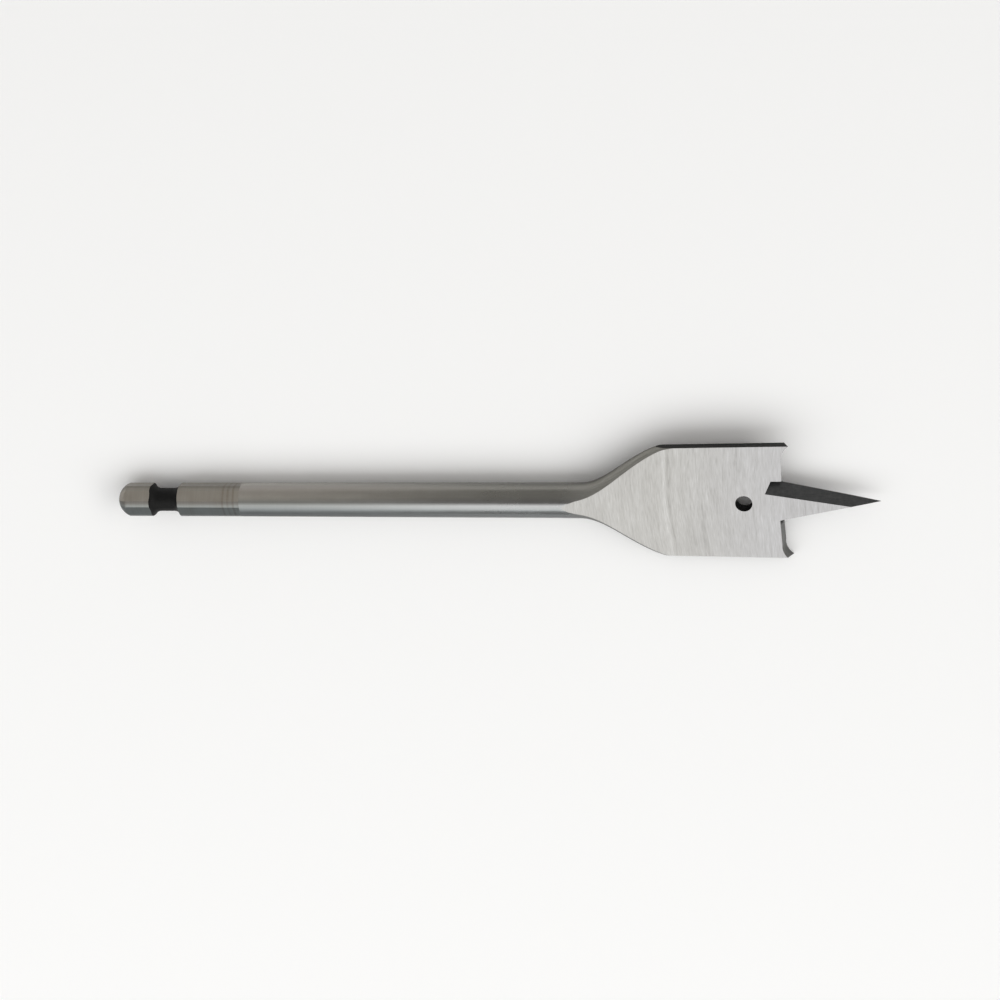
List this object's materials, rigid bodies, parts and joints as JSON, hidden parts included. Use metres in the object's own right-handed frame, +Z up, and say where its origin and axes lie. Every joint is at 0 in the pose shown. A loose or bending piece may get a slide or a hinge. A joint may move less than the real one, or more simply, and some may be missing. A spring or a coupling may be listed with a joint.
{
  "type": "spade drill bit",
  "caption": "Flat wood-boring drill bit with a hexagonal quick-change shank, a round shaft, and a paddle blade with a long centre point and corner spurs.",
  "frame": {"origin": "middle of the box's bottom, on the floor that the bit lies on; the tool's own axis is 3.475 mm above it", "axes": "+X along the tool's axis towards the tip of the point, +Y across the blade on the side whose edge is raised, +Z up"},
  "size_m": [0.1524, 0.0234, 0.007],
  "materials": {
    "steel": "satin bar with bright ground blade faces"
  },
  "bodies": {
    "root": {"spade_bit": "steel"}
  },
  "joints": []
}
